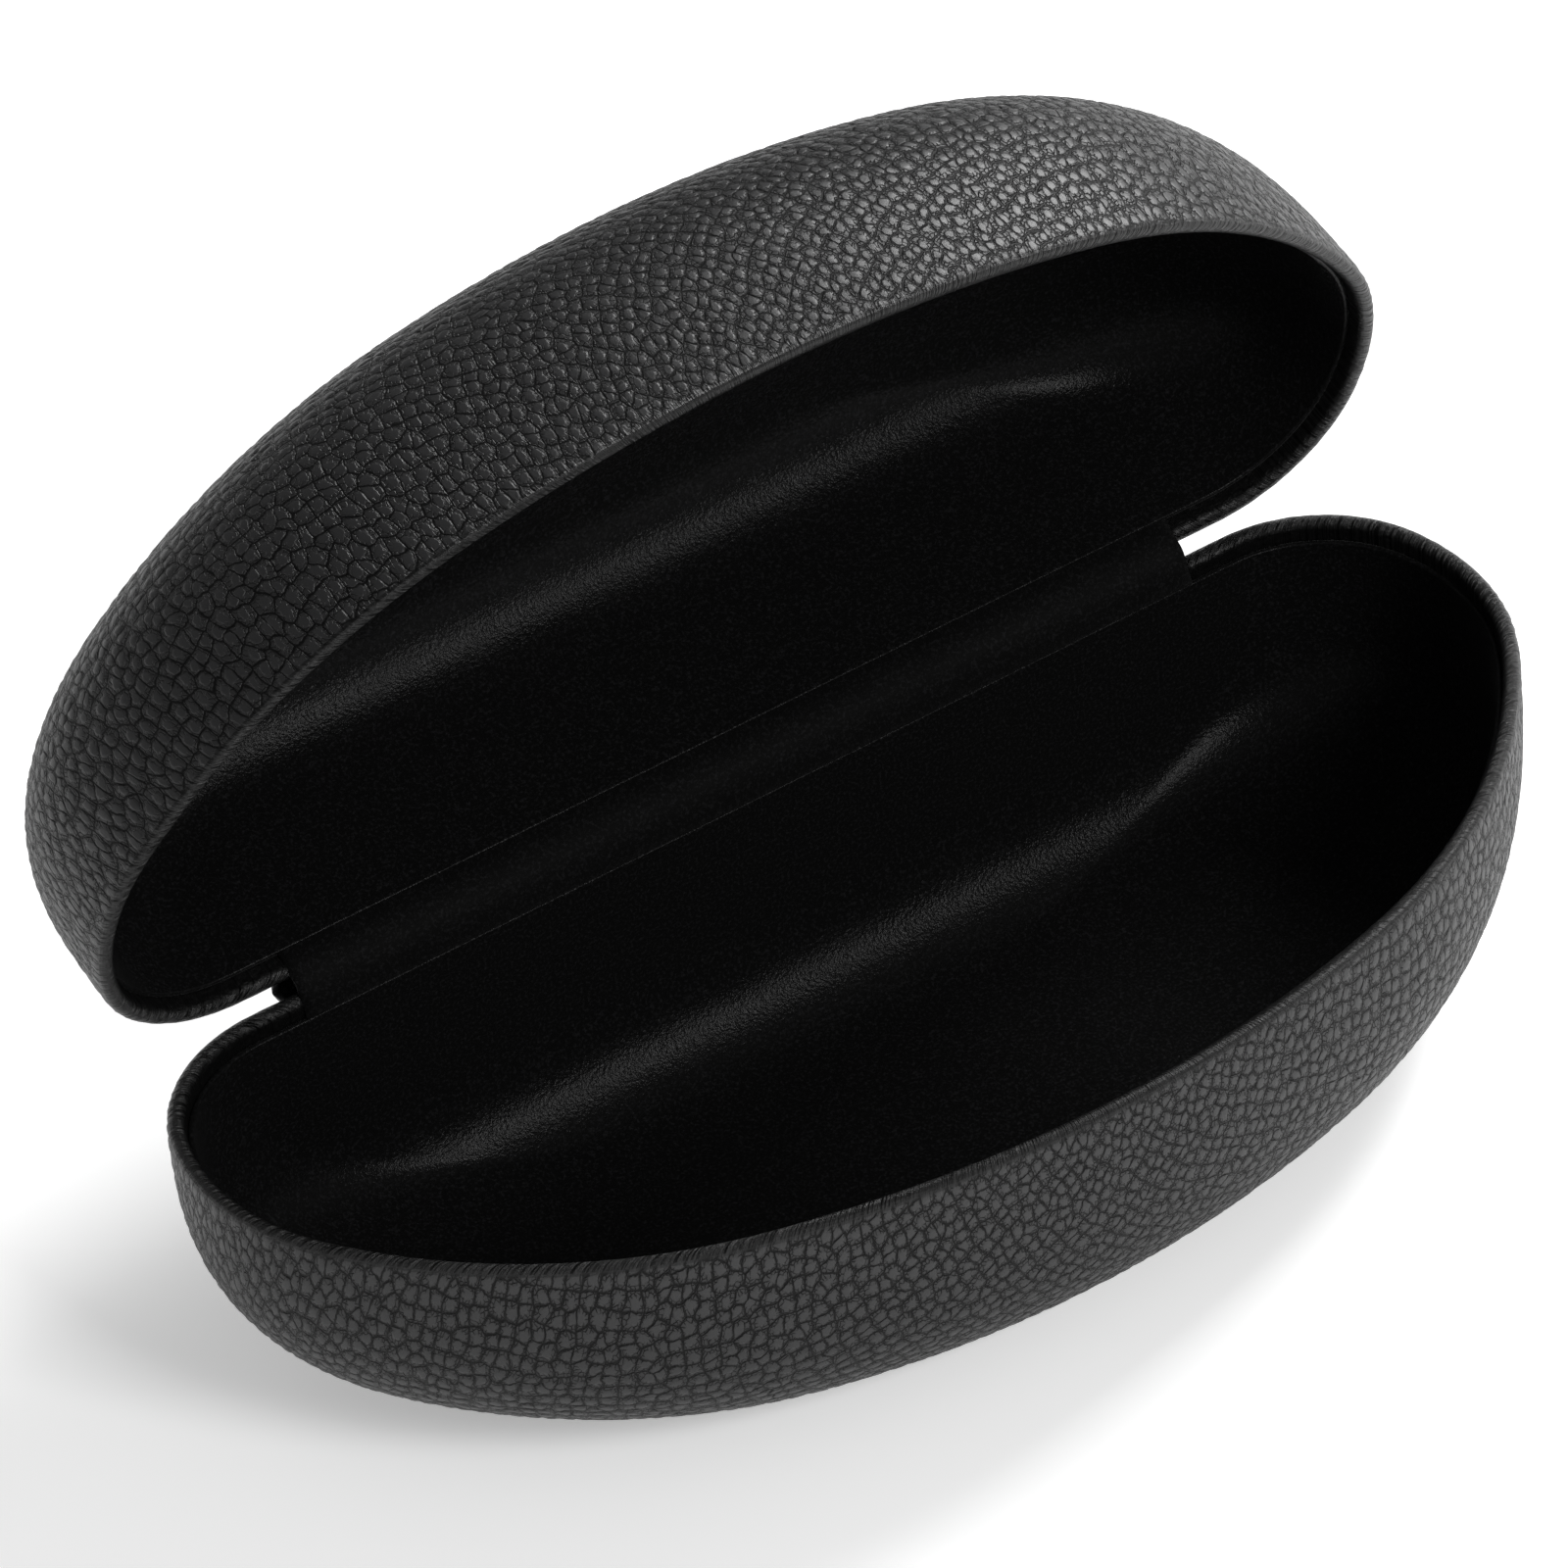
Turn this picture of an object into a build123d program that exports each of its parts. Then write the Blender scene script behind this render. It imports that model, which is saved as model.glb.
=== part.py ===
from build123d import *
import math
import os

# Hard clamshell eyeglasses case, standing open on its base.
# X runs along the case, +Y is the hinge side and +Z is up.
# The origin is on the table, under the middle of the case's footprint.
#
# Each half is drawn rim down: its rim is on Z = 0 and its crown points up.
# on_base() and on_lid() then put a finished piece where it belongs.

os.makedirs("parts", exist_ok=True)

# ---- driving dimensions, in millimetres and degrees ----
case_length = 164.0  # outside, end to end
case_depth = 71.0  # outside, back wall to front
base_height = 34.2  # table to the base's rim
lid_height = 34.0  # rim to crown
open_angle = 73.4  # how far the lid stands open
rim_gap = 0.3  # between the two rims when the lid is shut

# The outline, from the middle of the front round to the hinge
front_turn = 16.5
shoulder_turn = 41.0
end_turn = 49.0
shoulder_radius = 68.5
end_radius = 28.5

# The pressed form below the rim
side_fullness = 3.72  # 2 is an ellipse, and more is squarer
crown_depth = 37.0  # from the back wall to the middle of the crown
heel_radius = 6.0  # back wall into the flat bottom
liner_heel_radius = 15.0
last_press_angle = 78.0
press_steps = 13

# Sheets, from outside to inside
leather_thickness = 0.8
shell_thickness = 0.55
liner_thickness = 0.55
rim_round = 0.7
turn_in_depth = 7.0  # leather folded over the rim and glued inside
liner_edge_drop = 2.5  # from the rim to the liner's top edge

# Hinge: B is a base knuckle, L a lid knuckle and S a spring
knuckle_pattern = "BLSBLBSLB"
hinge_length = 112.0
barrel_radius = 1.25
barrel_clearance = 0.3
pin_radius = 0.6
pin_clearance = 0.05
pin_head_radius = 1.0
pin_head_length = 0.5
leaf_thickness = 0.5
leaf_height = 6.5
knuckle_side_gap = 0.15
notch_drop = 1.8  # the back wall is cut away this far below the rim
notch_margin = 1.5  # beyond each end of the hinge

# Rivets, leaf to shell
rivet_radius = 0.9
rivet_head_radius = 1.7
rivet_head_thickness = 0.4
rivet_drop = 4.4  # below the rim
rivet_spacing = 27.0
rivets_per_leaf = 4

# Snap springs, wound round the pin
spring_wire = 0.4
spring_mean_radius = 1.0
spring_leg_length = 4.5
spring_leg_inset = 0.8
spring_side_gap = 0.3
slot_clearance = 0.1

# Strips that cross the hinge
lining_strip_thickness = 0.5
back_strip_thickness = 0.65
strip_lid_gap = 0.15
strip_margin = 0.8  # beyond each end of the hinge

# ---- worked out from the dimensions above ----
turns = [front_turn, front_turn + shoulder_turn, front_turn + shoulder_turn + end_turn]
sines = [math.sin(math.radians(turn)) for turn in turns]
corner_turn = 180 - turns[2]
front_radius = (
    case_length / 2
    - shoulder_radius * (sines[1] - sines[0])
    - end_radius * (1 - sines[1])
) / sines[0]
back_y = case_depth / 2
crown_y = back_y - crown_depth

# How far each nested surface lies inside the outer face of the leather
shell_offset = leather_thickness
turn_in_offset = shell_offset + shell_thickness
lining_offset = turn_in_offset + leather_thickness
inside_offset = lining_offset + liner_thickness

# The leaf lies in the leather's thickness, against the shell and tangent to its barrel
leaf_offset = leather_thickness - leaf_thickness
axis_y = back_y - leather_thickness + barrel_radius
axis_drop = rim_gap / 2  # from a rim to the hinge axis
knuckle_pitch = hinge_length / len(knuckle_pattern)
knuckle_room = barrel_radius + barrel_clearance
notch_length = hinge_length + 2 * notch_margin
strip_length = hinge_length + 2 * strip_margin
past_the_case = 2 * case_length
overcut = 1.0  # how far a cut runs on past the face it starts from
inward_cut = case_depth / 4  # how far a cut reaches inside the back wall


def on_base(piece):
    """A piece drawn rim down, turned over onto the table."""
    turned_over = mirror(piece, about=Plane.XY, mode=Mode.PRIVATE)
    return turned_over.moved(Location((0, 0, base_height)))


def on_lid(piece):
    """A piece drawn rim down, on the base's rim and then swung open."""
    hinge_axis = Axis((0, axis_y, base_height + axis_drop), (-1, 0, 0))
    shut = piece.moved(Location((0, 0, base_height + rim_gap)))
    return shut.rotate(hinge_axis, open_angle)


def save(piece, name):
    """Label a finished piece and write its STEP file."""
    piece.label = name
    export_step(piece, f"parts/{name}.step")


# ---- the pressed form ----
def form_level(inset, squeeze, back_inset):
    """One level: tangent arcs from the middle of the front round to the straight back."""
    radii = [(radius - inset) * squeeze for radius in (front_radius, shoulder_radius, end_radius)]
    front_y = crown_y - (case_depth - crown_depth - inset) * squeeze
    level_back_y = back_y - back_inset
    with BuildSketch() as level:
        with BuildLine():
            front = JernArc((0, front_y), (1, 0), radii[0], front_turn)
            shoulder = JernArc(front @ 1, front % 1, radii[1], shoulder_turn)
            end = JernArc(shoulder @ 1, shoulder % 1, radii[2], end_turn)
            corner_rise = level_back_y - (end @ 1).Y
            corner_radius = corner_rise / (1 - math.cos(math.radians(corner_turn)))
            corner = JernArc(end @ 1, end % 1, corner_radius, corner_turn)
            Line(corner @ 1, (0, level_back_y))
            mirror(about=Plane.YZ)
        make_face()
    return level.sketch.face()


def pressed_form(inset, height, heel):
    """Everything inside one nested surface, from the rim to the crown."""
    power = 2 / side_fullness
    top_sine = math.sin(math.radians(last_press_angle)) ** power
    levels = []
    for step in range(press_steps + 1):
        angle = math.radians(last_press_angle * step / press_steps)
        z = (height - inset) * math.sin(angle) ** power / top_sine
        into_heel = max(0.0, z - (height - heel))
        heel_reach = heel - inset
        back_inset = inset + heel_reach - math.sqrt(max(0.0, heel_reach**2 - into_heel**2))
        level = form_level(inset, math.cos(angle) ** power, back_inset)
        levels.append(level.moved(Location((0, 0, z))))
    return loft(levels, mode=Mode.PRIVATE)


def layer(low, high):
    """All the space between two heights."""
    block = Box(past_the_case, past_the_case, high - low, mode=Mode.PRIVATE)
    return block.moved(Location((0, 0, (low + high) / 2)))


def back_bar(length, offsets, heights):
    """A bar along the back wall, between two offsets and two heights."""
    bar = Box(length, offsets[1] - offsets[0], heights[1] - heights[0], mode=Mode.PRIVATE)
    return bar.moved(Location((0, back_y - sum(offsets) / 2, sum(heights) / 2)))


def along_hinge(radius, length, x=0.0):
    """A round bar on the hinge axis."""
    bar = Cylinder(radius, length, rotation=(0, 90, 0), mode=Mode.PRIVATE)
    return bar.moved(Location((x, axis_y, -axis_drop)))


notch = back_bar(notch_length, (-notch_drop, inward_cut), (-notch_drop, notch_drop))


# ---- hinge leaves, rivets and springs ----
def knuckles(kinds):
    """Middle X of each knuckle place whose letter is in kinds."""
    first = (knuckle_pitch - hinge_length) / 2
    places = enumerate(knuckle_pattern)
    return [first + knuckle_pitch * i for i, letter in places if letter in kinds]


def rivet_places():
    """X of each rivet of one leaf."""
    first = -rivet_spacing * (rivets_per_leaf - 1) / 2
    return [first + rivet_spacing * i for i in range(rivets_per_leaf)]


def rivet_bar(radius, x, offsets):
    """A round bar through the back wall at one rivet."""
    bar = Cylinder(radius, offsets[1] - offsets[0], rotation=(90, 0, 0), mode=Mode.PRIVATE)
    return bar.moved(Location((x, back_y - sum(offsets) / 2, rivet_drop)))


def spring_leg(radius, x, side, length):
    """The straight end of a snap spring, down one leaf."""
    standing = (Align.CENTER, Align.CENTER, Align.MIN)
    leg = Cylinder(radius, length, align=standing, mode=Mode.PRIVATE)
    leg_x = x + side * (knuckle_pitch / 2 - spring_leg_inset)
    return leg.moved(Location((leg_x, axis_y - spring_mean_radius, -axis_drop)))


def hinge_leaf(own, other, bore, side):
    """A plate with its knuckles, cut away round the other leaf's knuckles and the springs."""
    with BuildPart() as leaf:
        add(
            back_bar(
                hinge_length,
                (leaf_offset, leather_thickness),
                (-axis_drop, leaf_height - axis_drop),
            )
        )
        for x in knuckles(own):
            add(along_hinge(barrel_radius, knuckle_pitch - 2 * knuckle_side_gap, x))
        for x in knuckles(other + "S"):
            room = along_hinge(knuckle_room, knuckle_pitch + 2 * knuckle_side_gap, x)
            add(room, mode=Mode.SUBTRACT)
        add(along_hinge(bore, hinge_length + overcut), mode=Mode.SUBTRACT)
        for x in rivet_places():
            shank = rivet_bar(rivet_radius, x, (leaf_offset, turn_in_offset))
            add(shank, mode=Mode.SUBTRACT)
        for x in knuckles("S"):
            slot_radius = leaf_thickness / 2 + slot_clearance
            slot = spring_leg(slot_radius, x, side, spring_leg_length + slot_clearance)
            add(slot, mode=Mode.SUBTRACT)
    return leaf.part


def rivets():
    """One leaf's rivets: a shank through leaf and shell and a head inside the shell."""
    head = (turn_in_offset, turn_in_offset + rivet_head_thickness)
    with BuildPart() as group:
        for x in rivet_places():
            add(rivet_bar(rivet_radius, x, (leaf_offset, turn_in_offset)))
            add(rivet_bar(rivet_head_radius, x, head))
    return group.part


# ---- leather cover, steel shell and flocked liner of one half ----
def nested_forms(height):
    """The pressed surfaces of one half, from the leather's outer face to the flock."""
    return {
        "outside": pressed_form(0, height, heel_radius),
        "shell_outside": pressed_form(shell_offset, height, heel_radius),
        "shell_inside": pressed_form(turn_in_offset, height, heel_radius),
        "turn_in_inside": pressed_form(lining_offset, height, heel_radius),
        "liner_outside": pressed_form(turn_in_offset, height, liner_heel_radius),
        "liner_inside": pressed_form(inside_offset, height, liner_heel_radius),
    }


def leather_cover(forms):
    """Outer leather, rolled over the rim and turned in, and skived over the hinge leaf."""
    with BuildPart() as cover:
        add(forms["outside"])
        fillet(cover.faces().sort_by(Axis.Z)[0].outer_wire().edges(), rim_round)
        add(forms["turn_in_inside"], mode=Mode.SUBTRACT)
        below_turn_in = forms["shell_outside"] & layer(turn_in_depth, past_the_case)
        add(below_turn_in, mode=Mode.SUBTRACT)
        shell_slot = forms["shell_outside"] - forms["shell_inside"]
        slot_heights = layer(leather_thickness, turn_in_depth + overcut)
        add(shell_slot & slot_heights, mode=Mode.SUBTRACT)
        add(notch, mode=Mode.SUBTRACT)
        turn_in = (turn_in_offset, inward_cut)
        add(back_bar(notch_length, turn_in, (-overcut, turn_in_depth + overcut)), mode=Mode.SUBTRACT)
        leaf_room = back_bar(
            hinge_length + 2 * knuckle_side_gap,
            (leaf_offset, leather_thickness),
            (-overcut, leaf_height + knuckle_side_gap),
        )
        add(leaf_room, mode=Mode.SUBTRACT)
    return cover.part


def steel_shell(forms):
    """The pressed shell, notched for the hinge and drilled for its rivets."""
    with BuildPart() as shell:
        add(forms["shell_outside"])
        add(forms["shell_inside"], mode=Mode.SUBTRACT)
        add(layer(-overcut, leather_thickness), mode=Mode.SUBTRACT)
        add(notch, mode=Mode.SUBTRACT)
        for x in rivet_places():
            shank = rivet_bar(rivet_radius, x, (leaf_offset, turn_in_offset + overcut))
            add(shank, mode=Mode.SUBTRACT)
    return shell.part


def flocked_liner(forms):
    """The formed liner, thin over the turned-in leather and softer in its back corner."""
    with BuildPart() as liner:
        add(forms["liner_outside"])
        add(forms["liner_inside"], mode=Mode.SUBTRACT)
        add(layer(-overcut, liner_edge_drop), mode=Mode.SUBTRACT)
        turned_in = forms["shell_inside"] - forms["turn_in_inside"]
        add(turned_in & layer(-overcut, turn_in_depth), mode=Mode.SUBTRACT)
    return liner.part


# ---- the base ----
base_forms = nested_forms(base_height)
save(on_base(leather_cover(base_forms)), "base_cover")
save(on_base(steel_shell(base_forms)), "base_shell")
save(on_base(flocked_liner(base_forms)), "base_liner")
save(on_base(hinge_leaf("B", "L", pin_radius, side=-1)), "base_hinge_leaf")
save(on_base(rivets()), "base_rivets")

# ---- the lid ----
lid_forms = nested_forms(lid_height)
save(on_lid(leather_cover(lid_forms)), "lid_cover")
save(on_lid(steel_shell(lid_forms)), "lid_shell")
save(on_lid(flocked_liner(lid_forms)), "lid_liner")
save(on_lid(hinge_leaf("L", "B", pin_radius + pin_clearance, side=1)), "lid_hinge_leaf")
save(on_lid(rivets()), "lid_rivets")

# ---- pin and springs, on the hinge axis ----
with BuildPart() as hinge_pin:
    add(along_hinge(pin_radius, hinge_length))
    for end in (-1, 1):
        head_x = end * (hinge_length + pin_head_length) / 2
        add(along_hinge(pin_head_radius, pin_head_length, head_x))
save(on_base(hinge_pin.part), "hinge_pin")


def snap_spring(x):
    """A closed coil round the pin, with one straight end down each leaf."""
    coil_length = knuckle_pitch - 2 * spring_side_gap
    wire_radius = spring_wire / 2
    with BuildPart() as spring:
        add(on_base(along_hinge(spring_mean_radius + wire_radius, coil_length, x)))
        add(on_base(spring_leg(wire_radius, x, -1, spring_leg_length)))
        add(on_lid(spring_leg(wire_radius, x, 1, spring_leg_length)))
        bore = along_hinge(spring_mean_radius - wire_radius, coil_length + overcut, x)
        add(on_base(bore), mode=Mode.SUBTRACT)
    return spring.part


spring_places = knuckles("S")

save(snap_spring(spring_places[0]), "left_snap_spring")
save(snap_spring(spring_places[-1]), "right_snap_spring")


# ---- strips that cross the hinge, drawn in the YZ plane round the axis ----
def hinge_point(y, z, lid=False):
    """A point of the hinge section, from its place beside the axis on one closed half."""
    if lid:
        swing = math.radians(open_angle)
        y, z = y * math.cos(swing) - z * math.sin(swing), -y * math.sin(swing) - z * math.cos(swing)
        return (axis_y + y, base_height + axis_drop + z)
    return (axis_y + y, base_height + axis_drop + z)


def middle_of_arc(start, end):
    """The point halfway along the short arc round the hinge axis."""
    centre = (axis_y, base_height + axis_drop)
    y, z = [start[i] + end[i] - 2 * centre[i] for i in (0, 1)]
    radius = math.hypot(start[0] - centre[0], start[1] - centre[1])
    stretch = radius / math.hypot(y, z)
    return (centre[0] + y * stretch, centre[1] + z * stretch)


def band_section(base_corners, lid_corners):
    """A strip's section: corners run from its inner bend to its foot and to its outer bend."""
    with BuildSketch(Plane.YZ) as section:
        with BuildLine():
            Polyline(*base_corners)
            outer = (base_corners[-1], lid_corners[-1])
            ThreePointArc(outer[0], middle_of_arc(*outer), outer[1])
            Polyline(*lid_corners)
            inner = (base_corners[0], lid_corners[0])
            ThreePointArc(inner[0], middle_of_arc(*inner), inner[1])
        make_face()
    return section.sketch


def lining_side(lid):
    """The lining strip on one half: straight from the liner's edge, then round the barrel."""
    gap = strip_lid_gap if lid else 0.0
    foot = (back_y - lining_offset - axis_y, -(liner_edge_drop + axis_drop - gap))
    foot_angle = math.atan2(foot[1], foot[0])
    bend = foot_angle - math.acos(knuckle_room / math.hypot(*foot))
    outer_radius = knuckle_room + lining_strip_thickness
    outer = (outer_radius * math.cos(bend), outer_radius * math.sin(bend))
    run = (foot[1] - outer[1]) / math.cos(bend)
    outer_foot = (outer[0] - run * math.sin(bend), foot[1])
    inner = (knuckle_room * math.cos(bend), knuckle_room * math.sin(bend))
    return [hinge_point(y, z, lid) for y, z in (inner, foot, outer_foot, outer)]


def back_side(lid):
    """The back strip's end on one half, round the barrel's outside."""
    outer_radius = knuckle_room + back_strip_thickness
    face = axis_y - back_y
    reach = face - strip_lid_gap if lid else face + leaf_offset
    end = -math.pi / 2 - math.asin(reach / outer_radius)
    across = (math.cos(end), math.sin(end))
    radii = (knuckle_room, outer_radius)
    return [hinge_point(radius * across[0], radius * across[1], lid) for radius in radii]


with BuildPart() as lining_strip:
    add(band_section(lining_side(False), lining_side(True)))
    extrude(amount=strip_length / 2, dir=(1, 0, 0), both=True)
save(lining_strip.part, "lining_strip")

with BuildPart() as back_strip:
    add(band_section(back_side(False), back_side(True)))
    extrude(amount=strip_length / 2, dir=(1, 0, 0), both=True)
    skin = back_bar(strip_length, (0, leaf_offset), (notch_drop, leaf_height))
    add(on_base(skin), mode=Mode.SUBTRACT)
save(back_strip.part, "back_strip")
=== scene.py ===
import math

import bmesh
import bpy
from mathutils import Matrix, Quaternion, Vector


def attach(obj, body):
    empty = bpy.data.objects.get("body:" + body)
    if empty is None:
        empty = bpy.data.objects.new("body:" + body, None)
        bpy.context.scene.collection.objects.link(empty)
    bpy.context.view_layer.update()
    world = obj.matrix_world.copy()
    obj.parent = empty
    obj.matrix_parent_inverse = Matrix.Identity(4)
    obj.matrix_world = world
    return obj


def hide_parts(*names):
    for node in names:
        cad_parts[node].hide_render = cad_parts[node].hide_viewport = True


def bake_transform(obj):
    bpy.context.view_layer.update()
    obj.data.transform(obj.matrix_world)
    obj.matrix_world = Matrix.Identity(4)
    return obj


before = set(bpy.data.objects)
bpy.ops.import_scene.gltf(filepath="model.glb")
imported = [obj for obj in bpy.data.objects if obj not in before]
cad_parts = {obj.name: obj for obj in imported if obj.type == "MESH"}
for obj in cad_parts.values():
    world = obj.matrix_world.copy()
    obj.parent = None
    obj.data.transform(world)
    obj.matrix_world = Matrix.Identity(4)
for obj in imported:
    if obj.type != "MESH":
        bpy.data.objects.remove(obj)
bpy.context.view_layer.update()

MM = 0.001

# ---- leather covers ----
# One cover to each half: black coated split leather, embossed with a pebble grain. It is
# drawn wet over the pressed steel, rolled over the rim and glued down inside, under the liner.
# The grain fades out on the roll, where the leather is pulled tight and wrinkles instead.
CASE_LENGTH = 164.0 * MM
CASE_DEPTH = 71.0 * MM
BASE_HEIGHT = 34.2 * MM
LID_HEIGHT = 34.0 * MM
RIM_GAP = 0.3 * MM
OPEN_ANGLE = math.radians(73.4)
TURNS = [math.radians(turn) for turn in (16.5, 41.0, 49.0, 73.5)]
SHOULDER_RADIUS = 68.5 * MM
END_RADIUS = 28.5 * MM
SIDE_FULLNESS = 3.72
LAST_PRESS_ANGLE = math.radians(78.0)
BACK_Y = CASE_DEPTH / 2
CROWN_Y = BACK_Y - 37.0 * MM
HEEL = 6.0 * MM
HINGE_Y = BACK_Y + 0.45 * MM
HINGE_Z = BASE_HEIGHT + RIM_GAP / 2
RIM_WIDTH = 2.15 * MM
TURN_IN_DEPTH = 4.5 * MM
NOTCH_HALF_LENGTH = 57.5 * MM
NOTCH_DROP = 1.8 * MM
MESH_SPACING = 0.52 * MM  # about a quarter of a pebble
CROWN_SPACING = 1.0 * MM
LEVEL_STEPS = [66, 82, 42, 36, 74]  # half a loop: front, shoulder, end, corner and back
WALL_REACH = 60 * MM  # sets how slowly the side wall turns into the crown
WALL_SAMPLES = 6000
TURN_IN_LEVELS = 6
ROLL_LEVELS = 10
CROWN_BLEND = 0.6 * MM  # how far down from the crown the mesh is smoothed
CROWN_BLEND_ROUNDS = 12
CUT_MERGE = 1e-7  # metres, for the notch's cutting planes
ROLL_END = 0.9 * MM  # below the rim's top, where the pulled leather gives way to grain
ROLL_FADE = 0.6 * MM
ROUND_RIM = 65  # mm along the rim to a radian about the middle
WALL_UNROLLED = 0.9  # how much of the wall's height the flat sheet spreads out
EMBOSS_DEPTH = 0.15 * MM
WRINKLE_SHARE = -0.8  # the roll's wrinkles, against the depth of the grain
PEBBLES_PER_MM = (0.42, 0.58, 1.0)
ROW_SLANT = math.radians(47)
ROW_DRIFT = (0.8, 0.8, 0.8)
PEBBLE_UNEVENNESS = 0.62
FOLDS_PER_PEBBLE = 3.3

to_base = Matrix.Translation((0, 0, BASE_HEIGHT)) @ Matrix.Scale(-1, 4, (0, 0, 1))
to_lid = (
    Matrix.Translation((0, HINGE_Y, HINGE_Z))
    @ Matrix.Rotation(OPEN_ANGLE, 4, (-1, 0, 0))
    @ Matrix.Translation((0, -HINGE_Y, RIM_GAP / 2))
)


def pressed_level(inset, squeeze, back_inset, z, steps):
    """One closed loop of the pressed form: tangent arcs from the front round to the back."""
    sines = [math.sin(sum(TURNS[: i + 1])) for i in range(3)]
    shoulder_reach = SHOULDER_RADIUS * (sines[1] - sines[0]) + END_RADIUS * (1 - sines[1])
    front_radius = (CASE_LENGTH / 2 - shoulder_reach) / sines[0]
    radii = [(r - inset) * squeeze for r in (front_radius, SHOULDER_RADIUS, END_RADIUS)]
    point = Vector((0, CROWN_Y - (CASE_DEPTH - BACK_Y + CROWN_Y - inset) * squeeze, z))
    half, heading = [point.copy()], 0.0
    for i, turn in enumerate(TURNS):
        if i == len(radii):
            radii.append((BACK_Y - back_inset - point.y) / (1 - math.cos(turn)))
        step = turn / steps[i]
        for _ in range(steps[i]):
            middle = heading + step / 2
            way = Vector((math.cos(middle), math.sin(middle), 0))
            point += way * 2 * radii[i] * math.sin(step / 2)
            heading += step
            half.append(point.copy())
    corner, last = half[-1], steps[-1]
    half += [Vector((corner.x * (1 - k / last), corner.y, z)) for k in range(1, last + 1)]
    return half + [Vector((-p.x, p.y, z)) for p in reversed(half[1:-1])]


def wall_levels(inset, height, heel, spacing, steps):
    """The loops of one nested surface, about one spacing apart, from the rim to the crown."""
    power = 2 / SIDE_FULLNESS
    top = math.sin(LAST_PRESS_ANGLE) ** power
    angles = [LAST_PRESS_ANGLE * (i / WALL_SAMPLES) ** 3 for i in range(WALL_SAMPLES + 1)]
    spots = [
        (height * math.sin(a) ** power / top, WALL_REACH * math.cos(a) ** power) for a in angles
    ]
    runs = [0.0]
    for one, two in zip(spots, spots[1:]):
        runs.append(runs[-1] + math.dist(one, two))
    count = round(runs[-1] / spacing)
    levels = []
    k = 0
    for i in range(count + 1):
        while k < WALL_SAMPLES and runs[k] < runs[-1] * i / count:
            k += 1
        squeeze = math.cos(angles[k]) ** power
        z = (height - inset) * math.sin(angles[k]) ** power / top
        into_heel = max(0.0, z - (height - heel))
        heel_reach = heel - inset
        back_inset = inset + heel_reach - math.sqrt(max(0.0, heel_reach**2 - into_heel**2))
        levels.append(pressed_level(inset, squeeze, back_inset, z, steps))
    return levels


def crown_levels(last, spacing):
    """Smaller and smaller loops that close the flat crown."""
    middle = Vector((0, (last[0].y + last[len(last) // 2].y) / 2, last[0].z))
    count = round((middle - last[0]).length / spacing)
    levels = []
    for i in range(1, count):
        share = 1 - i / count
        levels.append([middle + (p - middle) * share for p in last])
    return levels


def loops_to_mesh(levels):
    """Loops drawn one from the other, and closed over the crown."""
    bm = bmesh.new()
    ring = [bm.verts.new(p) for p in levels[0]]
    for pair in zip(ring, ring[1:] + ring[:1]):
        bm.edges.new(pair)
    for points in levels[1:]:
        edges = [bm.edges.get(pair) for pair in zip(ring, ring[1:] + ring[:1])]
        made = set(bmesh.ops.extrude_edge_only(bm, edges=edges)["geom"])
        ring = [
            next(e.other_vert(v) for e in v.link_edges if e.other_vert(v) in made) for v in ring
        ]
        for vert, point in zip(ring, points):
            vert.co = point
    bmesh.ops.contextual_create(bm, geom=ring)
    top = max(v.co.z for v in bm.verts)
    near_top = [v for v in bm.verts if v.co.z > top - CROWN_BLEND]
    for _ in range(CROWN_BLEND_ROUNDS):
        bmesh.ops.smooth_vert(bm, verts=near_top, factor=0.5, use_axis_z=True)
    return bm


def new_piece(name, bm, place=None):
    """The finished bmesh as a smooth object at the origin."""
    bmesh.ops.recalc_face_normals(bm, faces=bm.faces)
    mesh = bpy.data.meshes.new(name)
    bm.to_mesh(mesh)
    bm.free()
    if place is not None:
        mesh.transform(place)
        if place.determinant() < 0:
            mesh.flip_normals()
    for polygon in mesh.polygons:
        polygon.use_smooth = True
    piece = bpy.data.objects.new(name, mesh)
    bpy.context.scene.collection.objects.link(piece)
    return piece


def linear(hex_colour):
    """An sRGB hex colour as linear RGBA."""
    shares = [int(hex_colour[i : i + 2], 16) / 255 for i in (1, 3, 5)]
    return [s / 12.92 if s <= 0.04045 else ((s + 0.055) / 1.055) ** 2.4 for s in shares] + [1.0]


def add_node(tree, kind, inputs=None, **settings):
    """A node with its settings and with its inputs either set or linked."""
    node = tree.nodes.new(kind)
    for name, value in settings.items():
        setattr(node, name, value)
    for key, value in (inputs or {}).items():
        if isinstance(value, bpy.types.NodeSocket):
            tree.links.new(value, node.inputs[key])
        else:
            node.inputs[key].default_value = value
    return node


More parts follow.
